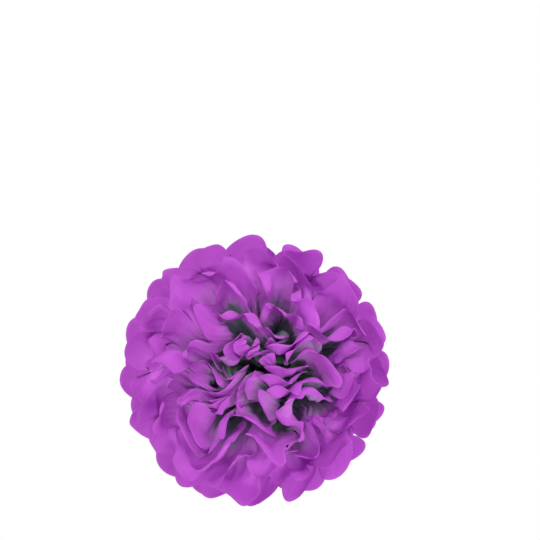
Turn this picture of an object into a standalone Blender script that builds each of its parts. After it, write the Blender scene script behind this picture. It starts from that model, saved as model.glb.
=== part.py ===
"""Tissue paper pom pom on a string: pleated sheets tied at the middle and pulled apart into a ball."""
import math

import bmesh
import bpy

# The origin is at the top of the string's loop, where the pom pom hangs
HANG_HEIGHT = 0.600  # from there down to the ball's centre

# Sheets: their length runs left to right, their pleats fan out up and down
SHEET_COUNT = 12
SHEET_LENGTH = 0.410
SHEET_WIDTH = 0.508
PANEL_COUNT = 8  # pleat panels across a sheet, each ending in a petal on both sides
PETAL_ROUNDING = 0.034  # how far the round cut of a petal reaches in from its tip
PAPER_THICKNESS = 0.0004
CLEARANCE = 0.0003  # between pieces that touch

# How each sheet is turned away from the front pole, and its pleats from the sheet
POLE_ANGLE = math.radians(13)  # the first and the last sheet, from their pole
MIDDLE_ANGLE = math.radians(6)  # the two middle sheets, from the plane between them
GATHER_ANGLE = math.radians(8.5)  # pleat swing where the paper is still gathered
GATHER_FALL = 0.62  # share of it that is gone at the tips
POLE_CLEAR = math.radians(6.5)  # angle that the front and back sheets' pleats keep free at the poles
MIDDLE_CLEAR = math.radians(2)  # the same beside the string, for the middle sheets
MIDDLE_RISE = 0.22  # how the swing grows away from the middle
SEAM_GAP = 0.006  # between the left and the right fan, where the string passes

# Unevenness of single petals, as shares of a panel's turn or of the angle between two sheets
SWAY = 0.16  # sideways wander
STAGGER = 0.20  # sideways shift of every other sheet, over its neighbours' notches
LIFT = 0.22  # slow wander towards the next sheet
FLUTTER = 0.15  # the same in shorter waves, along the edge
FLUTTER_WAVE = 4.4
CUP = 0.18  # bend of the tips towards the next sheet
SLOW_WAVE = 1.3  # the wanders' waves, in radians a panel
QUICK_WAVE = 2.1
SLOW_STEP = 2.9  # and their shift from sheet to sheet
QUICK_STEP = 4.7
FLUTTER_STEP = 3.7
RIGHT_SEED = 1.9  # starts of the waves, so that no two edges are alike
LEFT_SEED = 5.3
SEED_SLIP = 2.3
LIFT_SEED = 1.1
CUP_SEED = 2.7
CUP_STEP = 3.0  # from petal to petal
CALM_MIDDLE = 0.55  # what is left of these three at the middle sheets
CALM_WIDTH = 0.5  # reached this far from the middle, in radians
TWIST = math.radians(13)  # turn of a sheet's tips about the poles
TWIST_WAVE = 2.6  # how it changes from sheet to sheet

# Unevenness that neighbouring sheets share, in radians
LEAN = math.radians(6)  # bend one way and back about the string's line
LEAN_WAVE = 4.2  # length of that bend's wave, from the centre to the tips
SWIRL = (2, 3.0, 0.6, 0.36)  # waves round the ball, slant, phase, size
TILTS = ((3, 0.0, 1.2, 0.16), (5, -2.0, 2.0, 0.107))  # waves round the ball, slant, phase, size
CLOSING = 0.09  # bend of the tips towards the nearer pole

# Crumpling of the front and the back: axis moved, wave's length, its direction, phase, size in metres
CRUMPLES = (
    (0, 0.078, (0.0, 0.3, 1.0), 0.6, 0.009),
    (2, 0.084, (1.0, 0.5, 0.0), 2.1, 0.009),
    (1, 0.090, (0.7, 0.0, 0.8), 4.0, 0.009),
    (0, 0.052, (0.0, 0.9, 0.5), 1.7, 0.006),
    (2, 0.056, (0.8, -0.7, 0.0), 0.4, 0.006),
)
CRUMPLE_START = 0.42  # share of the radius where it starts
CRUMPLE_GROWTH = 0.5  # and how much further it is full
CRUMPLE_DEPTH = 0.13  # full this far in front of or behind the string

# Neck, tie wire and string
NECK_WIDTH = 0.014
NECK_OVAL = 1.25  # depth of the neck's oval section over the depth of the stack
LEAVE_ROOM = 1.3  # how far apart the sheets start to fan, over the least that keeps them clear
WIRE_DIAMETER = 0.0012
TAIL_LENGTH = 0.012
TAIL_TURNS = 1.5
STRING_DIAMETER = 0.003
LOOP_LENGTH = 0.022
LOOP_WIDTH = 0.012
KNOT_DIAMETER = 0.0075

# Points of the meshes
PANEL_STEPS = 4
STATIONS = (0.50, 0.73, 0.88, 1.0)  # rows of points along a petal, as shares of its length
PLAIN_ROWS = 3  # rows from the neck on that keep every other point
RING_STEPS = 12
TURN_STEPS = 4
STRING_STEPS = 12
LOOP_STEPS = 10

# Worked out from the above
PANEL_WIDTH = SHEET_WIDTH / PANEL_COUNT
NOTCH_RADIUS = SHEET_LENGTH / 2 - PETAL_ROUNDING
HALF_COUNT = SHEET_COUNT // 2
SPACING = (math.pi / 2 - MIDDLE_ANGLE - POLE_ANGLE) / (HALF_COUNT - 1)
STACK_PITCH = PAPER_THICKNESS + CLEARANCE
STACK_HALF = STACK_PITCH * (SHEET_COUNT - 1) / 2
RING_Y = STACK_HALF * NECK_OVAL + PAPER_THICKNESS + CLEARANCE + WIRE_DIAMETER / 2
RING_Z = NECK_WIDTH / 2 + 2 * CLEARANCE + WIRE_DIAMETER / 2
KNOT_HEIGHT = STRING_DIAMETER / 2 - LOOP_LENGTH


def make_collection(name):
    collection = bpy.data.collections.new(name)
    bpy.context.scene.collection.children.link(collection)
    return collection


def make_material(name, colour, roughness, metallic=0.0):
    material = bpy.data.materials.new(name)
    material.use_nodes = True
    shader = material.node_tree.nodes["Principled BSDF"]
    shader.inputs["Base Color"].default_value = (*colour, 1.0)
    shader.inputs["Roughness"].default_value = roughness
    shader.inputs["Metallic"].default_value = metallic
    return material


def add_object(name, data, material, collection, height=-HANG_HEIGHT):
    item = bpy.data.objects.new(name, data)
    item.location.z = height
    data.materials.append(material)
    collection.objects.link(item)
    return item


def wander(sheet, place, seed):
    """A repeatable uneven value from -1 to 1 that changes smoothly along the pleats."""
    slow = math.sin(SLOW_WAVE * place - SLOW_STEP * sheet + SEED_SLIP * seed)
    quick = math.sin(QUICK_WAVE * place + QUICK_STEP * sheet + seed)
    return (slow + quick) / 2


def sheet_angle(sheet):
    """Angle of a sheet's petals from the front pole, 0 at the front and pi at the back."""
    if sheet < HALF_COUNT:
        return POLE_ANGLE + SPACING * sheet
    return math.pi - POLE_ANGLE - SPACING * (SHEET_COUNT - 1 - sheet)


def sheet_level(sheet):
    return STACK_PITCH * sheet - STACK_HALF


def pleat_swing(radius, angle):
    """Half of the pleats' depth as an angle, so that each panel keeps its width."""
    across = radius * math.sin(angle) * math.pi / PANEL_COUNT
    depth = math.sqrt(max(PANEL_WIDTH ** 2 - across ** 2, 0.0))
    fall = GATHER_FALL * math.sin(angle) * (radius * 2 / SHEET_LENGTH) ** 2
    gathered = GATHER_ANGLE * (1 - fall)
    from_pole = min(angle, math.pi - angle)
    from_middle = math.pi / 2 - MIDDLE_ANGLE - from_pole
    return min(math.atan2(depth / 2, radius), gathered, from_pole - POLE_CLEAR,
               MIDDLE_ANGLE - MIDDLE_CLEAR + MIDDLE_RISE * from_middle)


def ease(value):
    """A smooth step from 0 to 1."""
    value = min(max(value, 0.0), 1.0)
    return value * value * (3 - 2 * value)


def stir(around, angle, out):
    """Turns that all sheets share, so that they bend together and never cross."""
    waves, slant, phase, size = SWIRL
    around += size * out * math.cos(angle) ** 2 * math.sin(waves * around + slant * angle + phase)
    angle -= CLOSING * out ** 2 * math.sin(2 * angle)
    for waves, slant, phase, size in TILTS:
        angle += size * out * math.sin(2 * angle) * math.sin(waves * around + slant * angle + phase)
    return around, angle


def crumple(point, out):
    """Sideways waves that all sheets share, strongest at the tips in front and behind."""
    point = list(point)
    amount = ease((out - CRUMPLE_START) / CRUMPLE_GROWTH) * ease(abs(point[1]) / CRUMPLE_DEPTH)
    for axis, wave, way, phase, size in CRUMPLES:
        along = sum(part * share for part, share in zip(point, way)) * math.tau / wave
        point[axis] += size * amount * math.sin(along + phase)
    return point


def petal_point(sheet, side, place, share):
    """Point of a sheet's fan: place counts panels from the bottom, share runs from neck to edge."""
    panel = min(int(place), PANEL_COUNT - 1)
    across = 2 * (place - panel) - 1
    radius = share * (NOTCH_RADIUS + PETAL_ROUNDING * math.sqrt(max(1 - across ** 2, 0.0)))
    out = radius * 2 / SHEET_LENGTH
    seed = RIGHT_SEED if side > 0 else LEFT_SEED
    base = sheet_angle(sheet)

    seam = math.asin(SEAM_GAP / 2 / (radius * math.sin(base)))
    panel_turn = (math.pi - 2 * seam) / PANEL_COUNT
    spread = min(1.0, NOTCH_RADIUS / radius)
    turn = panel_turn * (panel + 0.5 + across / 2 * spread - PANEL_COUNT / 2)
    inside = 1 - (2 * place / PANEL_COUNT - 1) ** 4
    turn += SWAY * panel_turn * out ** 2 * inside * wander(sheet, place, seed)
    turn += STAGGER * panel_turn * out ** 3 * inside * math.sin(base) ** 4 * (-1) ** sheet

    front = -1 if sheet < HALF_COUNT else 1
    calm = min(1.0, CALM_MIDDLE + (1 - CALM_MIDDLE) * abs(base - math.pi / 2) / CALM_WIDTH)
    calm *= math.sin(base) * SPACING
    angle = base + front * pleat_swing(radius, base) * math.cos(math.pi * place)
    angle += LIFT * calm * out ** 2 * wander(sheet, place, seed + LIFT_SEED)
    angle += FLUTTER * calm * out ** 3 * math.sin(FLUTTER_WAVE * place + FLUTTER_STEP * sheet + seed)
    angle += CUP * calm * out ** 4 * (1 - across ** 2) * wander(sheet, CUP_STEP * panel, seed + CUP_SEED)

    around = turn if side > 0 else math.pi - turn
    around += TWIST * out ** 3 * math.sin(TWIST_WAVE * (sheet - HALF_COUNT + 0.5)) * math.sin(base) ** 2
    around, angle = stir(around, angle, out)
    sideways = radius * math.sin(angle) * math.cos(around)
    forward = radius * math.cos(angle)
    lean = LEAN * math.sin(LEAN_WAVE * out)
    return crumple((sideways * math.cos(lean) + forward * math.sin(lean),
                    sheet_level(sheet) + sideways * math.sin(lean) - forward * math.cos(lean),
                    radius * math.sin(angle) * math.sin(around)), out)


def neck_point(sheet, side, place):
    """Point where a sheet leaves the gathered neck: the outer sheets bend away first."""
    leave = WIRE_DIAMETER / 2 + PAPER_THICKNESS + CLEARANCE
    for outer in range(min(sheet, SHEET_COUNT - 1 - sheet)):
        leave += LEAVE_ROOM * STACK_PITCH * math.tan((math.pi / 2 - sheet_angle(outer)) / 2)
    level = sheet_level(sheet)
    half_width = NECK_WIDTH / 2 * math.sqrt(1 - (level / STACK_HALF / NECK_OVAL) ** 2)
    return (side * leave, level, half_width * (2 * place / PANEL_COUNT - 1))


def make_sheet(sheet, material, collection):
    rows = len(STATIONS)
    columns = PANEL_COUNT * PANEL_STEPS
    grid = bmesh.new()
    bmesh.ops.create_grid(grid, x_segments=2 * rows + 1, y_segments=columns, size=1.0)
    plain = {}
    for vertex in grid.verts:
        side = 1 if vertex.co.x > 0 else -1
        row = round((abs(vertex.co.x) * (2 * rows + 1) - 1) / 2)
        place = round((vertex.co.y + 1) / 2 * columns) / PANEL_STEPS
        if row == 0:
            vertex.co = neck_point(sheet, side, place)
        else:
            vertex.co = petal_point(sheet, side, place, STATIONS[row - 1])
        if row < PLAIN_ROWS:
            plain[side, row, place] = vertex
    odd = [key for key in plain if key[2] * PANEL_STEPS % 2 == 1]
    merged = {plain[key]: plain[key[0], key[1], key[2] - 1 / PANEL_STEPS] for key in odd}
    bmesh.ops.weld_verts(grid, targetmap=merged)
    mesh = bpy.data.meshes.new("tissue_sheet")
    grid.to_mesh(mesh)
    grid.free()
    mesh.shade_smooth()
    item = add_object(f"tissue_sheet_{sheet + 1:02d}", mesh, material, collection)
    shell = item.modifiers.new("paper", "SOLIDIFY")
    shell.thickness = PAPER_THICKNESS
    shell.offset = 0.0
    return item


def make_wire_curve(name, points, diameter):
    curve = bpy.data.curves.new(name, "CURVE")
    curve.dimensions = "3D"
    curve.bevel_depth = diameter / 2
    curve.bevel_resolution = 2
    curve.use_fill_caps = True
    spline = curve.splines.new("POLY")
    spline.points.add(len(points) - 1)
    for spot, point in zip(spline.points, points):
        spot.co = (*point, 1.0)
    return curve


def tie_wire_points():
    """One wire: a twisted end below the neck, once round the neck, and the other twisted end."""
    strand = (WIRE_DIAMETER + CLEARANCE) / 2
    steps = round(TURN_STEPS * TAIL_TURNS)
    twist = []
    for step in range(steps + 1):
        share = step / steps
        turn = math.tau * TAIL_TURNS * share + math.pi / 2
        twist.append((strand * math.cos(turn), strand * math.sin(turn), -RING_Z - strand - TAIL_LENGTH * share))
    ring = []
    for step in range(1, RING_STEPS):
        turn = math.tau * step / RING_STEPS
        ring.append((0.0, RING_Y * math.sin(turn), -RING_Z * math.cos(turn)))
    other = [(-x, -y, z) for x, y, z in twist]
    return twist[::-1] + ring + other


def make_tie_wire(material, collection):
    curve = make_wire_curve("tie_wire", tie_wire_points(), WIRE_DIAMETER)
    return add_object("tie_wire", curve, material, collection)


def make_string(material, collection):
    bottom = RING_Z + WIRE_DIAMETER / 2 + CLEARANCE
    top = HANG_HEIGHT + KNOT_HEIGHT - KNOT_DIAMETER / 2 - CLEARANCE
    points = []
    for step in range(STRING_STEPS + 1):
        points.append((0.0, 0.0, bottom + (top - bottom) * step / STRING_STEPS))
    curve = make_wire_curve("hanging_string", points, STRING_DIAMETER)
    return add_object("hanging_string", curve, material, collection)


def make_string_loop(material, collection, cutters):
    """The string's end: a loop whose two legs go into the knot."""
    leg = STRING_DIAMETER / 2 + CLEARANCE
    bulge = LOOP_WIDTH / 2 - leg * math.sqrt(0.5)
    points = []
    for step in range(LOOP_STEPS + 1):
        turn = math.pi * step / LOOP_STEPS
        points.append((leg * math.cos(turn) + bulge * math.sin(2 * turn), 0.0, LOOP_LENGTH * math.sin(turn)))
    curve = make_wire_curve("loop_line", points, STRING_DIAMETER)
    line = add_object("loop_line", curve, material, collection, KNOT_HEIGHT)
    mesh = bpy.data.meshes.new_from_object(line.evaluated_get(bpy.context.evaluated_depsgraph_get()))
    bpy.data.objects.remove(line)
    weld = bmesh.new()
    weld.from_mesh(mesh)
    bmesh.ops.remove_doubles(weld, verts=weld.verts, dist=0.00001)
    weld.to_mesh(mesh)
    weld.free()
    loop = add_object("string_loop", mesh, material, collection, KNOT_HEIGHT)

    ball = bmesh.new()
    bmesh.ops.create_uvsphere(ball, u_segments=8, v_segments=6, radius=KNOT_DIAMETER / 2)
    knot_mesh = bpy.data.meshes.new("knot")
    ball.to_mesh(knot_mesh)
    ball.free()
    knot = add_object("knot", knot_mesh, material, cutters, KNOT_HEIGHT)
    knot.hide_render = True
    knot.display_type = "WIRE"
    join = loop.modifiers.new("knot", "BOOLEAN")
    join.operation = "UNION"
    join.object = knot
    return loop


def main():
    for item in list(bpy.data.objects):
        bpy.data.objects.remove(item, do_unlink=True)
    collection = make_collection("tissue_paper_pom_pom")
    cutters = make_collection("cutters")
    paper = make_material("purple_tissue", (0.48, 0.08, 0.60), 0.9)
    wire = make_material("wire", (0.45, 0.45, 0.46), 0.4, 1.0)
    string = make_material("white_string", (0.85, 0.85, 0.85), 0.8)
    for sheet in range(SHEET_COUNT):
        make_sheet(sheet, paper, collection)
    make_tie_wire(wire, collection)
    make_string(string, collection)
    make_string_loop(string, collection, cutters)


main()
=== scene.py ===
import math

import bpy
import numpy as np
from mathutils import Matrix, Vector
from mathutils.bvhtree import BVHTree


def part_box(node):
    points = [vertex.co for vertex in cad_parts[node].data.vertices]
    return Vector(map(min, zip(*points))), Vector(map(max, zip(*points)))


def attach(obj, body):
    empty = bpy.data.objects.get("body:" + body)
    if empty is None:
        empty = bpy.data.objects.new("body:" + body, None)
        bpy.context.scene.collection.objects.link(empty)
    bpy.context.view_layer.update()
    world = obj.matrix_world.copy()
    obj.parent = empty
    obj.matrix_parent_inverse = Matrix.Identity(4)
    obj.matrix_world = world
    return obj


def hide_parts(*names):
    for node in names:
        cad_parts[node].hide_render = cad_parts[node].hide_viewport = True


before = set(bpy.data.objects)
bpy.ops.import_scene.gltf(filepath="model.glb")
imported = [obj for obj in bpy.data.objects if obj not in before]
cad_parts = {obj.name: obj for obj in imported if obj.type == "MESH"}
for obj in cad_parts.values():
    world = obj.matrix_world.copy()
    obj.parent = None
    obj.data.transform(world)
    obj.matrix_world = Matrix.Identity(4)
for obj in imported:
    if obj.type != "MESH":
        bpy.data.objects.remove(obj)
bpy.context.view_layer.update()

# Tissue paper pom pom on a white string, 16 inch ball. Metres and degrees.

pomPom = {
    "hangHeight": 0.600,  # string loop down to the ball's centre
    "sheetCount": 12,
    "sheetLength": 0.410,
    "sheetWidth": 0.508,
    "panelCount": 8,
    "petalRounding": 0.034,
    "pitch": 0.0007,  # from sheet to sheet in the neck
    "firstAngle": 13,  # outer sheets, from their pole
    "middleAngle": 6,  # middle sheets, from the plane between them
    "gatherAngle": 8.5,  # most that a pleat swings to each side
    "gatherFall": 0.62,  # share of it that is gone at the tips
    "poleClear": 6.5,
    "middleClear": 2,
    "middleRise": 0.22,
    "seamGap": 0.006,
}

ballCentre = Vector((0, 0, -pomPom["hangHeight"]))
panelWidth = pomPom["sheetWidth"] / pomPom["panelCount"]
reach = pomPom["sheetLength"] / 2
notchReach = reach - pomPom["petalRounding"]
halfCount = pomPom["sheetCount"] // 2
spacing = math.radians(90 - pomPom["middleAngle"] - pomPom["firstAngle"]) / (halfCount - 1)
stackHalf = pomPom["pitch"] * (pomPom["sheetCount"] - 1) / 2


# Camera first: level with the ball, the frame slid up the string

cameraSetup = {
    "distance": 2.6,
    "sensorWidth": 36,
    "mmPerPixel": 1.515,  # at the ball's centre
    "imageSize": 540,
    "ballPixel": (255, 371),
}


def makeCamera():
    data = bpy.data.cameras.new("camera")
    width = cameraSetup["mmPerPixel"] * cameraSetup["imageSize"] / 1000
    data.sensor_width = cameraSetup["sensorWidth"]
    data.lens = data.sensor_width * cameraSetup["distance"] / width
    middle = cameraSetup["imageSize"] / 2
    data.shift_x = (middle - cameraSetup["ballPixel"][0]) / cameraSetup["imageSize"]
    data.shift_y = (cameraSetup["ballPixel"][1] - middle) / cameraSetup["imageSize"]
    camera = bpy.data.objects.new("camera", data)
    camera.location = ballCentre + Vector((0, -cameraSetup["distance"], 0))
    camera.rotation_euler = (math.radians(90), 0, 0)
    bpy.context.scene.collection.objects.link(camera)
    bpy.context.scene.camera = camera


makeCamera()
print("camera set")


# Shader maths: a wrapped socket that takes plain Python expressions

class Flow:
    def __init__(self, tree, socket):
        self.tree = tree
        self.socket = socket

    def maths(self, operation, first, second):
        return self.node("ShaderNodeMath", {"operation": operation}, {0: first, 1: second})

    def __add__(self, other):
        return self.maths("ADD", self, other)

    def __radd__(self, other):
        return self.maths("ADD", other, self)

    def __sub__(self, other):
        return self.maths("SUBTRACT", self, other)

    def __mul__(self, other):
        return self.maths("MULTIPLY", self, other)

    def node(self, kind, settings=None, inputs=None, output=0):
        made = self.tree.nodes.new(kind)
        for name, value in (settings or {}).items():
            if name == "stops":
                for position, colour in value:
                    made.color_ramp.elements.new(position).color = (*colour, 1)
                made.color_ramp.elements.remove(made.color_ramp.elements[-1])
                made.color_ramp.elements.remove(made.color_ramp.elements[0])
            else:
                setattr(made, name, value)
        for name, value in (inputs or {}).items():
            if isinstance(value, Flow):
                self.tree.links.new(value.socket, made.inputs[name])
            else:
                made.inputs[name].default_value = value
        return Flow(self.tree, made.outputs[output]) if len(made.outputs) else None

    def noise(self, scale, detail):
        return self.node("ShaderNodeTexNoise", None, {"Vector": self, "Scale": scale, "Detail": detail})

    def bump(self, strength, distance):
        return self.node("ShaderNodeBump", None,
                         {"Strength": strength, "Distance": distance, "Height": self})

    def mixColours(self, first, second):
        return self.node("ShaderNodeMix", {"data_type": "RGBA"}, {0: self, 6: first, 7: second}, 2)

    def between(self, low, high):
        return self.node("ShaderNodeMapRange", {"interpolation_type": "SMOOTHSTEP"},
                         {0: self, 1: low, 2: high})


white = (1, 1, 1, 1)


def startMaterial(name):
    material = bpy.data.materials.new(name)
    material.use_nodes = True
    material.node_tree.nodes.clear()
    return material, Flow(material.node_tree, None)


def finishMaterial(flow, shader):
    flow.node("ShaderNodeOutputMaterial", None, {"Surface": shader})


tissueFinish = {
    "petal": (0.475, 0.093, 0.555),
    "petalSky": 0.60,  # share of open sky from which that colour holds
    "depth": (  # share of open sky and the colour there: painted shade where little sky is seen, painted light on the half-shaded faces
        (0.00, (0.30, 0.56, 0.38)),  # painted shade: greenish grey, to offset the purple light that bounces here
        (0.07, (0.21, 0.37, 0.27)),
        (0.12, (0.78, 0.40, 0.87)),
        (0.17, (0.88, 0.30, 0.96)),
        (0.26, (0.77, 0.195, 0.87)),
        (0.36, (0.65, 0.138, 0.745)),
        (0.46, (0.565, 0.112, 0.655)),
    ),
    "shade": (0.93, 0.91, 0.92, 1),
    "shadeRange": 0.25,
    "patchScale": 22,
    "patchShade": 0.35,
    "toneShade": 0.16,
    "toneWave": (2.4, 1.9),  # for each panel, for each sheet
    "fibreScale": 900,
    "fibreShade": 0.12,
    "creaseStretch": (9, 120, 0),  # long along the pleats
    "creaseScale": 1.4,
    "crumpleScale": 55,
    "foldScale": 42,
    "foldBend": 0.02,
    "relief": {"creases": 0.9, "crumples": 0.7, "folds": 0.5, "fibres": 0.05},
    "reliefStrength": 0.8,
    "reliefHeight": 0.0022,
    "roughness": 0.85,
    "shine": 0.15,
    "through": (0.55, 0.105, 0.63, 1),
    "lightThrough": 0.42,
}


def makeTissue():
    material, flow = startMaterial("purple tissue")
    finish = tissueFinish
    place = flow.node("ShaderNodeTexCoord", None, None, "Object")
    sky = flow.node("ShaderNodeAttribute", {"attribute_name": "sky"}, None, "Fac")
    tone = flow.node("ShaderNodeAttribute", {"attribute_name": "tone"}, None, "Fac")
    flat = flow.node("ShaderNodeAttribute", {"attribute_name": "flat"}, None, "Vector")
    patches = place.noise(finish["patchScale"], 3)
    fibres = place.noise(finish["fibreScale"], 3)
    stretched = flow.node("ShaderNodeVectorMath", {"operation": "MULTIPLY"},
                          {0: flat, 1: finish["creaseStretch"]})
    creases = stretched.noise(finish["creaseScale"], 4)
    crumples = place.noise(finish["crumpleScale"], 5)
    light = ((patches - 0.5) * finish["patchShade"] + tone * finish["toneShade"]
             + (fibres - 0.5) * finish["fibreShade"])
    stops = finish["depth"] + ((finish["petalSky"], finish["petal"]),)
    # painted shade and light: the colour follows the share of open sky, greenish grey deep between the
    # sheets and lighter purple on half-shaded faces
    paper = flow.node("ShaderNodeValToRGB", {"stops": stops}, {"Fac": sky})
    tint = light.between(-finish["shadeRange"], finish["shadeRange"]).mixColours(finish["shade"], white)
    colour = flow.node("ShaderNodeMix", {"data_type": "RGBA", "blend_type": "MULTIPLY"},
                       {0: 1.0, 6: paper, 7: tint}, 2)
    bent = flow.node("ShaderNodeVectorMath", {"operation": "ADD"},
                     {0: place, 1: crumples * finish["foldBend"]})
    folds = flow.node("ShaderNodeTexVoronoi", {"feature": "DISTANCE_TO_EDGE"},
                      {"Vector": bent, "Scale": finish["foldScale"]})
    parts = finish["relief"]
    relief = (creases * parts["creases"] + crumples * parts["crumples"] + folds * parts["folds"]
              + fibres * parts["fibres"])
    bump = relief.bump(finish["reliefStrength"], finish["reliefHeight"])
    front = flow.node("ShaderNodeBsdfPrincipled", None,
                      {"Base Color": colour, "Roughness": finish["roughness"], "Normal": bump,
                       "Specular IOR Level": finish["shine"]})
    through = flow.node("ShaderNodeBsdfTranslucent", None, {"Color": finish["through"], "Normal": bump})
    sheet = flow.node("ShaderNodeMixShader", None, {0: finish["lightThrough"], 1: front, 2: through})
    finishMaterial(flow, sheet)
    return material


stringFinish = {
    "light": (0.86, 0.86, 0.85, 1),
    "dark": (0.79, 0.79, 0.78, 1),
    "fibreScale": 2600,
    "fibreRange": (0.3, 0.6),
    "reliefStrength": 0.4,
    "reliefHeight": 0.0003,
    "roughness": 0.8,
    "shine": 0.2,
}


def makeStringMaterial():
    material, flow = startMaterial("white cotton string")
    finish = stringFinish
    place = flow.node("ShaderNodeTexCoord", None, None, "Object")
    fibres = place.noise(finish["fibreScale"], 4)
    colour = fibres.between(*finish["fibreRange"]).mixColours(finish["dark"], finish["light"])
    bump = fibres.bump(finish["reliefStrength"], finish["reliefHeight"])
    cotton = flow.node("ShaderNodeBsdfPrincipled", None,
                       {"Base Color": colour, "Roughness": finish["roughness"], "Normal": bump,
                        "Specular IOR Level": finish["shine"]})
    finishMaterial(flow, cotton)
    return material


wireFinish = {
    "metal": (0.42, 0.42, 0.43, 1),
    "worn": (0.30, 0.29, 0.28, 1),
    "streakScale": 1400,
    "streakRange": (0.35, 0.65),
    "reliefStrength": 0.2,
    "reliefHeight": 0.0001,
    "roughness": 0.3,
    "streakRoughness": 0.2,
}


def makeWireMaterial():
    material, flow = startMaterial("drawn steel wire")
    finish = wireFinish
    place = flow.node("ShaderNodeTexCoord", None, None, "Object")
    streaks = place.noise(finish["streakScale"], 3)
    colour = streaks.between(*finish["streakRange"]).mixColours(finish["worn"], finish["metal"])
    bump = streaks.bump(finish["reliefStrength"], finish["reliefHeight"])
    roughness = finish["roughness"] + streaks * finish["streakRoughness"]
    steel = flow.node("ShaderNodeBsdfPrincipled", None,
                      {"Base Color": colour, "Metallic": 1.0, "Roughness": roughness, "Normal": bump})
    finishMaterial(flow, steel)
    return material


tissue = makeTissue()
cotton = makeStringMaterial()
steel = makeWireMaterial()
print("materials made")


def addPiece(name, points, faces, material):
    mesh = bpy.data.meshes.new(name)
    mesh.from_pydata(points, [], faces)
    mesh.shade_smooth()
    mesh.materials.append(material)
    piece = bpy.data.objects.new(name, mesh)
    bpy.context.scene.collection.objects.link(piece)
    return piece


# String: three strands twisted together, from the tie wire up to the knot

stringForm = {
    "diameter": 0.003,
    "strands": 3,
    "lay": 0.011,  # length of one full twist
    "core": 0.76,  # share of the radius at the grooves between strands
    "bulge": 0.24,  # what the strands add to it
    "roundness": 0.7,
    "sides": 24,
    "step": 0.0009,
    "loopLength": 0.022,
    "loopWidth": 0.012,
    "loopSteps": 60,
    "knotTurns": 2,
    "knotSteps": 96,
    "knotRadii": (0.0027, 0.0017),
    "knotLength": 0.0044,
    "knotBite": 0.0012,  # how far the string's top goes into the knot
    "clearance": 0.0003,
}


def twistedTube(path):
    # rings of a lobed section that turns along the path, with closed ends
    path = [Vector(point) for point in path]
    radius = stringForm["diameter"] / 2
    sides = stringForm["sides"]
    normal = Vector((0, 1, 0))
    points = []
    walked = 0.0
    for index, point in enumerate(path):
        before = path[max(index - 1, 0)]
        after = path[min(index + 1, len(path) - 1)]
        if index:
            walked += (point - before).length
        along = (after - before).normalized()
        normal = (normal - along * normal.dot(along)).normalized()
        side = along.cross(normal)
        for corner in range(sides):
            turn = math.tau * corner / sides
            lobe = abs(math.cos(stringForm["strands"] / 2 * (turn - math.tau * walked / stringForm["lay"])))
            size = radius * (stringForm["core"] + stringForm["bulge"] * lobe ** stringForm["roundness"])
            points.append(point + (normal * math.cos(turn) + side * math.sin(turn)) * size)
    faces = []
    for ring in range(len(path) - 1):
        for corner in range(sides):
            here = ring * sides + corner
            beside = ring * sides + (corner + 1) % sides
            faces.append((here, beside, beside + sides, here + sides))
    faces.append(tuple(range(sides))[::-1])
    faces.append(tuple(range((len(path) - 1) * sides, len(path) * sides)))
    return points, faces


def makeString():
    low, high = (Vector(corner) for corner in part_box("hanging_string"))
    steps = round((high.z - low.z) / stringForm["step"])
    path = [(0, 0, low.z + (high.z - low.z) * step / steps) for step in range(steps + 1)]
    points, faces = twistedTube(path + [(0, 0, high.z + stringForm["knotBite"])])
    piece = addPiece("hangingString", points, faces, cotton)
    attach(piece, "root")
    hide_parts("hanging_string")
    return piece, path[::4] + [path[-1]]


def makeStringLoop():
    knotHeight = stringForm["diameter"] / 2 - stringForm["loopLength"]
    leg = stringForm["diameter"] / 2 + stringForm["clearance"]
    bulge = stringForm["loopWidth"] / 2 - leg * math.sqrt(0.5)
    path = []
    for step in range(stringForm["loopSteps"] + 1):
        turn = math.pi * step / stringForm["loopSteps"]
        path.append((leg * math.cos(turn) + bulge * math.sin(2 * turn), 0,
                     knotHeight + stringForm["loopLength"] * math.sin(turn)))
    points, faces = twistedTube(path)
    coil = []
    wide, deep = stringForm["knotRadii"]
    knotTop = knotHeight + stringForm["knotLength"] / 2
    for step in range(stringForm["knotSteps"] + 1):
        turn = math.tau * stringForm["knotTurns"] * step / stringForm["knotSteps"]
        drop = stringForm["knotLength"] * step / stringForm["knotSteps"]
        coil.append((wide * math.cos(turn), deep * math.sin(turn), knotTop - drop))
    extra, extraFaces = twistedTube(coil)
    shift = len(points)
    points += extra
    faces += [tuple(corner + shift for corner in face) for face in extraFaces]
    piece = addPiece("stringLoop", points, faces, cotton)
    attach(piece, "root")
    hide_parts("string_loop")
    return piece


hangingString, stringPath = makeString()
stringLoop = makeStringLoop()
stringLength = stringPath[-1][2] - stringPath[0][2]
print("string made")


# Tissue sheets: the pleated, fanned form of the solids, with gathers, soft petals and ruffled edges

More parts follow.
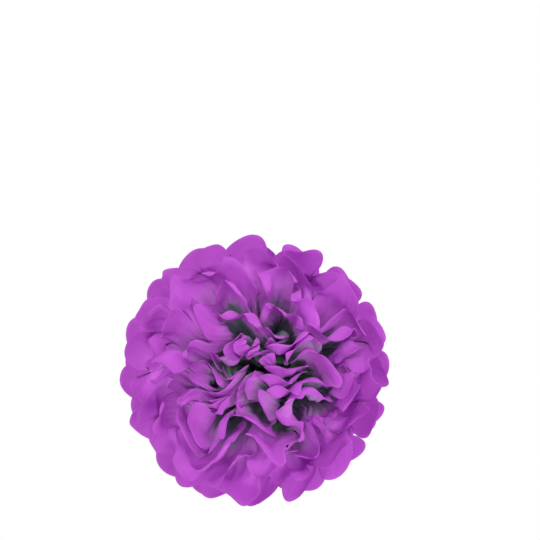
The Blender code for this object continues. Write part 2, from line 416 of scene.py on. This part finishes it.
petalForm = {
    "thickness": 0.00012,
    "panelSteps": 22,
    "innerRows": 10,
    "outerRows": 26,
    "rowCrowding": 0.85,  # outer rows lie closer towards the edge
    "innerShare": 0.42,
    "wander": ((1.3, -2.9, 2.3), (2.1, 4.7, 1)),  # slow and quick wave: for each panel, sheet, seed
    "seeds": {-1: 5.3, 1: 1.9},  # left half, right half
    "sway": 0.16,
    "stagger": 0.20,
    "calm": (0.55, 0.45, 0.5),  # least movement, what is added to it, over which angle
    "lift": 0.22,
    "liftSeed": 1.1,
    "flutter": 0.15,
    "flutterWave": (4.4, 3.7),  # for each panel, for each sheet
    "cup": 0.18,
    "cupSeed": 2.7,
    "cupSpread": 3,
    "twist": 13,
    "twistWave": 2.6,
    "lean": 6,
    "leanWave": 4.2,
    "swirl": (2, 3.0, 0.6, 0.36),  # waves round the ball, slant, phase, size
    "tilts": ((3, 0.0, 1.2, 0.16), (5, -2.0, 2.0, 0.107)),
    "crumples": (  # axis moved, wave's length, its direction, phase, size
        (0, 0.078, (0.0, 0.3, 1.0), 0.6, 0.009),
        (2, 0.084, (1.0, 0.5, 0.0), 2.1, 0.009),
        (1, 0.090, (0.7, 0.0, 0.8), 4.0, 0.009),
        (0, 0.052, (0.0, 0.9, 0.5), 1.7, 0.006),
        (2, 0.056, (0.8, -0.7, 0.0), 0.4, 0.006),
    ),
    "crumpleStart": 0.42,  # share of the length where they begin
    "crumpleRun": 0.5,
    "crumpleMiddle": 0.13,  # full this far from the middle plane
    "closing": 0.09,  # bend of the tips towards the nearer pole
}


def wander(sheet, place, seed):
    waves = [np.sin(perPanel * place + perSheet * sheet + perSeed * seed)
             for perPanel, perSheet, perSeed in petalForm["wander"]]
    return sum(waves) / len(waves)


def sheetAngle(sheet):
    first = math.radians(pomPom["firstAngle"])
    if sheet < halfCount:
        return first + spacing * sheet
    return math.pi - first - spacing * (pomPom["sheetCount"] - 1 - sheet)


def pleatSwing(radius, angle):
    # half of the pleats' depth as an angle
    across = radius * math.sin(angle) * math.pi / pomPom["panelCount"]
    depth = np.sqrt(np.maximum(panelWidth ** 2 - across ** 2, 0))
    fall = pomPom["gatherFall"] * math.sin(angle) * (radius / reach) ** 2
    gathered = math.radians(pomPom["gatherAngle"]) * (1 - fall)
    fromPole = min(angle, math.pi - angle)
    fromMiddle = math.radians(90 - pomPom["middleAngle"]) - fromPole
    swing = np.minimum(np.arctan2(depth / 2, radius), gathered)
    swing = np.minimum(swing, fromPole - math.radians(pomPom["poleClear"]))
    beside = math.radians(pomPom["middleAngle"] - pomPom["middleClear"])
    return np.minimum(swing, beside + pomPom["middleRise"] * fromMiddle)


def ease(value):
    value = np.clip(value, 0, 1)
    return value * value * (3 - 2 * value)


def crumple(points, out):
    # sideways waves that all sheets share, so they never cross
    amount = ease((out - petalForm["crumpleStart"]) / petalForm["crumpleRun"])
    amount = amount * ease(np.abs(points[..., 1]) / petalForm["crumpleMiddle"])
    for axis, wave, way, phase, size in petalForm["crumples"]:
        along = points @ np.array(way) * math.tau / wave
        points[..., axis] += size * amount * np.sin(along + phase)
    return points


def petalPoints(sheet, side, place, share):
    panels = pomPom["panelCount"]
    panel = np.minimum(np.floor(place), panels - 1)
    across = 2 * (place - panel) - 1
    radius = share * (notchReach + pomPom["petalRounding"] * np.sqrt(np.maximum(1 - across ** 2, 0)))
    out = radius / reach
    seed = petalForm["seeds"][side]
    base = sheetAngle(sheet)

    seam = np.arcsin(pomPom["seamGap"] / 2 / (radius * math.sin(base)))
    panelTurn = (math.pi - 2 * seam) / panels
    spread = np.minimum(1, notchReach / radius)
    turn = panelTurn * (panel + 0.5 + across / 2 * spread - panels / 2)
    inside = 1 - (2 * place / panels - 1) ** 4
    turn += petalForm["sway"] * panelTurn * out ** 2 * inside * wander(sheet, place, seed)
    turn += petalForm["stagger"] * panelTurn * out ** 3 * inside * math.sin(base) ** 4 * (-1) ** sheet

    front = -1 if sheet < halfCount else 1
    least, added, run = petalForm["calm"]
    calm = min(1, least + added * abs(base - math.pi / 2) / run) * math.sin(base) * spacing
    perPanel, perSheet = petalForm["flutterWave"]
    cupped = wander(sheet, petalForm["cupSpread"] * panel, seed + petalForm["cupSeed"])
    angle = base + front * pleatSwing(radius, base) * np.cos(math.pi * place)
    angle += petalForm["lift"] * calm * out ** 2 * wander(sheet, place, seed + petalForm["liftSeed"])
    angle += petalForm["flutter"] * calm * out ** 3 * np.sin(perPanel * place + perSheet * sheet + seed)
    angle += petalForm["cup"] * calm * out ** 4 * (1 - across ** 2) * cupped

    around = turn if side > 0 else math.pi - turn
    fromMiddle = sheet - halfCount + 0.5
    around = around + (math.radians(petalForm["twist"]) * out ** 3
                       * math.sin(petalForm["twistWave"] * fromMiddle) * math.sin(base) ** 2)
    waves, slant, phase, size = petalForm["swirl"]
    around += size * out * np.cos(angle) ** 2 * np.sin(waves * around + slant * angle + phase)
    angle -= petalForm["closing"] * out ** 2 * np.sin(2 * angle)
    for waves, slant, phase, size in petalForm["tilts"]:
        angle += size * out * np.sin(2 * angle) * np.sin(waves * around + slant * angle + phase)
    sideways = radius * np.sin(angle) * np.cos(around)
    forward = radius * np.cos(angle)
    lean = math.radians(petalForm["lean"]) * np.sin(petalForm["leanWave"] * out)
    level = pomPom["pitch"] * sheet - stackHalf
    points = np.stack([sideways * np.cos(lean) + forward * np.sin(lean),
                       level + sideways * np.sin(lean) - forward * np.cos(lean),
                       radius * np.sin(angle) * np.sin(around)], axis=-1)
    return crumple(points, out)


neckForm = {"width": 0.014, "oval": 1.25, "firstLeave": 0.0013, "leaveFactor": 1.3}


def neckPoints(sheet, side, place):
    leave = neckForm["firstLeave"]
    for outer in range(min(sheet, pomPom["sheetCount"] - 1 - sheet)):
        leave += neckForm["leaveFactor"] * pomPom["pitch"] * math.tan((math.pi / 2 - sheetAngle(outer)) / 2)
    level = pomPom["pitch"] * sheet - stackHalf
    half = neckForm["width"] / 2 * math.sqrt(1 - (level / stackHalf / neckForm["oval"]) ** 2)
    points = np.zeros(place.shape + (3,))
    points[..., 0] = side * leave
    points[..., 1] = level
    points[..., 2] = half * (2 * place / pomPom["panelCount"] - 1)
    return points


def surfaceNormals(points):
    alongRows = np.gradient(points, axis=0)
    acrossColumns = np.gradient(points, axis=1)
    normals = np.cross(alongRows, acrossColumns)
    length = np.linalg.norm(normals, axis=-1, keepdims=True)
    return normals / np.maximum(length, 1e-12)


def fanRows(sheet, side, place):
    # rows of points from the neck to the petals' edge
    inner = petalForm["innerShare"]
    rows = [neckPoints(sheet, side, place)]
    shares = [0.0]
    first = petalPoints(sheet, side, place, inner)
    for step in range(1, petalForm["innerRows"]):
        part = step / petalForm["innerRows"]
        rows.append(rows[0] * (1 - part) + first * part)
        shares.append(inner * part)
    for step in range(petalForm["outerRows"] + 1):
        share = inner + (1 - inner) * (step / petalForm["outerRows"]) ** petalForm["rowCrowding"]
        rows.append(petalPoints(sheet, side, place, share))
        shares.append(share)
    return np.array(rows), np.array(shares)


gatherForm = {
    "count": 5,  # wrinkles to a panel near the neck
    "depth": 0.31,  # over the wrinkle's length
    "polarDepth": 1.2,  # times that in the sheets at the poles
    "end": 0.90,  # share of the length where they end
    "polarEnd": 1.02,
    "fade": 0.50,
    "fadeCurve": 1.2,
    "start": 0.08,
    "uneven": 0.25,
    "unevenWave": (3.1, 2),  # for each panel, for each sheet
    "bend": 0.9,
    "bendWave": 2.3,
}


def addGathers(points, shares, place, sheet, side):
    # fine radial wrinkles that take up the paper where a panel is narrower than it was cut
    normals = surfaceNormals(points)
    share = shares[:, None]
    wrinkle = np.linalg.norm(np.diff(points, axis=1), axis=-1).mean(axis=1, keepdims=True)
    wrinkle = wrinkle * petalForm["panelSteps"] / gatherForm["count"]
    polar = sheet in (0, pomPom["sheetCount"] - 1)
    end = gatherForm["polarEnd"] if polar else gatherForm["end"]
    fade = np.clip((end - share) / gatherForm["fade"], 0, 1) ** gatherForm["fadeCurve"]
    fade = fade * np.clip(share / gatherForm["start"], 0, 1)
    perPanel, perSheet = gatherForm["unevenWave"]
    uneven = np.sin(perPanel * place + perSheet * sheet + side)[None, :]
    uneven = 1 - gatherForm["uneven"] + gatherForm["uneven"] * uneven
    bend = gatherForm["bend"] * np.sin(gatherForm["bendWave"] * place + sheet)
    wave = np.sin(math.tau * gatherForm["count"] * place + bend)[None, :]
    tight = gatherForm["polarDepth"] if polar else 1
    depth = gatherForm["depth"] * tight * wrinkle * fade * uneven
    return points + normals * (depth * wave)[..., None]


ruffleForm = {
    "height": 0.0016,
    "start": 0.55,  # share of the length where the ruffle begins
    "run": 0.45,
    "phase": (1.7, 2.6),  # for each sheet, for each side
    "broad": (4.6, 5),  # for each panel, along the length
    "small": (9.7, 3),
    "smallSize": 0.7,
    "veinHeight": 0.0006,
    "veinCount": 3.7,  # to a panel
    "veinBend": (0.5, 1.3),  # size, for each panel
    "veinSlant": 1.5,
    "veinStrength": (0.6, 0.4),  # everywhere, what comes and goes
    "veinWave": (2.9, 4),
    "veinStart": 0.35,
    "veinEnd": 1.06,
    "veinRun": 0.3,
}


def addRuffle(points, shares, place, sheet, side):
    # soft uneven waves that grow towards the edge of each petal, and long shallow veins
    form = ruffleForm
    normals = surfaceNormals(points)
    share = shares[:, None]
    grow = np.clip((share - form["start"]) / form["run"], 0, 1) ** 2
    phase = form["phase"][0] * sheet + form["phase"][1] * side
    broad = np.sin(form["broad"][0] * place + phase + form["broad"][1] * share)
    small = np.sin(form["small"][0] * place - 2 * phase - form["small"][1] * share)
    wave = broad + form["smallSize"] * small
    bend = form["veinBend"][0] * np.sin(form["veinBend"][1] * place + phase)
    veins = np.sin(math.tau * (form["veinCount"] * place + bend) + form["veinSlant"] * share)
    come = np.sin(form["veinWave"][0] * place + form["veinWave"][1] * share + phase)
    veins = veins * (form["veinStrength"][0] + form["veinStrength"][1] * come)
    spread = np.clip((share - form["veinStart"]) / form["veinRun"], 0, 1)
    spread = spread * np.clip((form["veinEnd"] - share) / form["veinRun"], 0, 1)
    height = form["height"] * grow * wave + form["veinHeight"] * spread * veins
    return points + normals * height[..., None]


def sheetForm(sheet):
    # all points of a sheet from its left edge through the neck to its right edge
    panels = pomPom["panelCount"]
    place = np.linspace(0, panels, panels * petalForm["panelSteps"] + 1)
    halves = []
    for side in (-1, 1):
        points, shares = fanRows(sheet, side, place)
        points = addGathers(points, shares, place, sheet, side)
        halves.append(addRuffle(points, shares, place, sheet, side))
    points = np.concatenate([halves[0][::-1], halves[1]]) + np.array(ballCentre)
    return points, np.concatenate([-shares[::-1], shares]), place


def gridFaces(rows, columns):
    corners = np.arange(rows * columns).reshape(rows, columns)
    around = [corners[:-1, :-1], corners[:-1, 1:], corners[1:, 1:], corners[1:, :-1]]
    return np.stack(around, axis=-1).reshape(-1, 4).tolist()


skyCheck = {"rowStep": 3, "columnStep": 4, "rays": 56, "distance": 0.25, "clear": 0.002}


def openSky(forms):
    # share of the directions in which each part of the paper sees out of the ball, which sets the tissue's
    # painted shade and light
    rowStep, columnStep = skyCheck["rowStep"], skyCheck["columnStep"]
    spots = []
    faces = []
    grids = []
    for points in forms:
        rows = np.unique(np.append(np.arange(0, points.shape[0], rowStep), points.shape[0] - 1))
        columns = np.unique(np.append(np.arange(0, points.shape[1], columnStep), points.shape[1] - 1))
        coarse = points[np.ix_(rows, columns)]
        faces += [[corner + len(spots) for corner in face] for face in gridFaces(len(rows), len(columns))]
        spots += coarse.reshape(-1, 3).tolist()
        grids.append((rows, columns, coarse))
    tree = BVHTree.FromPolygons(spots, faces)
    count = np.arange(skyCheck["rays"]) + 0.5
    height = 1 - 2 * count / skyCheck["rays"]
    turn = math.pi * (1 + 5 ** 0.5) * count
    flat = np.sqrt(1 - height ** 2)
    ways = [Vector(way) for way in np.stack([flat * np.cos(turn), flat * np.sin(turn), height], -1)]
    result = []
    for points, (rows, columns, coarse) in zip(forms, grids):
        seen = []
        for spot in coarse.reshape(-1, 3):
            spot = Vector(spot)
            free = 0
            for way in ways:
                if tree.ray_cast(spot + way * skyCheck["clear"], way, skyCheck["distance"])[0] is None:
                    free += 1
            seen.append(free / len(ways))
        seen = np.array(seen).reshape(len(rows), len(columns))
        wide = np.array([np.interp(np.arange(points.shape[1]), columns, line) for line in seen])
        result.append(np.array([np.interp(np.arange(points.shape[0]), rows, line) for line in wide.T]).T)
    return result


def makeSheet(sheet, points, shares, place, sky):
    rows, columns = points.shape[:2]
    faces = gridFaces(rows, columns)
    piece = addPiece(f"tissueSheet{sheet + 1:02d}", points.reshape(-1, 3).tolist(), faces, tissue)
    # the share of open sky, from which the tissue's colour paints shade and light
    seen = piece.data.attributes.new("sky", "FLOAT", "POINT")
    seen.data.foreach_set("value", sky.ravel())
    tone = piece.data.attributes.new("tone", "FLOAT", "POINT")
    perPanel, perSheet = tissueFinish["toneWave"]
    tone.data.foreach_set("value", np.tile(np.sin(perPanel * np.floor(place) + perSheet * sheet), rows))
    flat = piece.data.attributes.new("flat", "FLOAT_VECTOR", "POINT")
    flatPlace = np.zeros((rows, columns, 3))
    flatPlace[..., 0] = (shares * reach)[:, None]
    flatPlace[..., 1] = place[None, :] * panelWidth
    flatPlace[..., 2] = sheet
    flat.data.foreach_set("vector", flatPlace.ravel())
    paper = piece.modifiers.new("paper", "SOLIDIFY")
    paper.thickness = petalForm["thickness"]
    paper.offset = 0
    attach(piece, "root")
    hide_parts(f"tissue_sheet_{sheet + 1:02d}")


forms = [sheetForm(sheet) for sheet in range(pomPom["sheetCount"])]
print("sheets folded")
skies = openSky([form[0] for form in forms])
for sheet, (form, sky) in enumerate(zip(forms, skies)):
    makeSheet(sheet, *form, sky)
print("sheets made")

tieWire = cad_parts["tie_wire"]
tieWire.data.materials.clear()
tieWire.data.materials.append(steel)
print("wire finished")


# Studio: pale floor, soft lamps, white behind and round about

studio = {
    "floorDrop": 0.45,  # below the ball
    "floorSize": 6.0,
    "floorColour": (0.88, 0.88, 0.88, 1),
    "floorGrain": (0.86, 0.86, 0.86, 1),
    "floorScale": 3,
    "floorRange": (0.2, 0.8),
    "floorRoughness": 0.9,
    "dome": 1.80,  # on the object; rays from the camera see white
    "lamps": (
        {"name": "key", "place": (-0.9, -2.4, 1.3), "size": 1.6, "power": 5},
        {"name": "fill", "place": (1.7, -2.0, -0.4), "size": 1.8, "power": 24},
        {"name": "top", "place": (0.1, 0.3, 2.1), "size": 1.6, "power": 5},
    ),
}


def makeWorld():
    world = bpy.data.worlds.new("soft dome")
    world.use_nodes = True
    world.node_tree.nodes.clear()
    flow = Flow(world.node_tree, None)
    camera = flow.node("ShaderNodeLightPath", None, None, "Is Camera Ray")
    glossy = flow.node("ShaderNodeLightPath", None, None, "Is Glossy Ray")
    passing = flow.node("ShaderNodeLightPath", None, None, "Is Transmission Ray")
    seen = flow.maths("MAXIMUM", flow.maths("MAXIMUM", camera, glossy), passing)
    plain = flow.node("ShaderNodeBackground", None, {"Color": white, "Strength": 1.0})
    dome = flow.node("ShaderNodeBackground", None, {"Color": white, "Strength": studio["dome"]})
    both = flow.node("ShaderNodeMixShader", None, {0: seen, 1: dome, 2: plain})
    flow.node("ShaderNodeOutputWorld", None, {"Surface": both})
    bpy.context.scene.world = world


def makeFloor():
    material, flow = startMaterial("pale floor")
    place = flow.node("ShaderNodeTexCoord", None, None, "Object")
    grain = place.noise(studio["floorScale"], 2)
    colour = grain.between(*studio["floorRange"]).mixColours(studio["floorGrain"], studio["floorColour"])
    shader = flow.node("ShaderNodeBsdfPrincipled", None,
                       {"Base Color": colour, "Roughness": studio["floorRoughness"]})
    finishMaterial(flow, shader)
    half = studio["floorSize"] / 2
    height = ballCentre.z - reach - studio["floorDrop"]
    corners = [(-half, -half, height), (half, -half, height), (half, half, height), (-half, half, height)]
    floor = addPiece("floor", corners, [(0, 1, 2, 3)], material)


def makeLamps():
    for lamp in studio["lamps"]:
        data = bpy.data.lights.new(lamp["name"], "AREA")
        data.shape = "DISK"
        data.size = lamp["size"]
        data.energy = lamp["power"]
        light = bpy.data.objects.new(lamp["name"], data)
        light.location = ballCentre + Vector(lamp["place"])
        light.rotation_euler = (-Vector(lamp["place"])).to_track_quat("-Z", "Y").to_euler()
        bpy.context.scene.collection.objects.link(light)


makeWorld()
makeFloor()
makeLamps()
bpy.context.scene.view_settings.view_transform = "Standard"
print("studio lit")
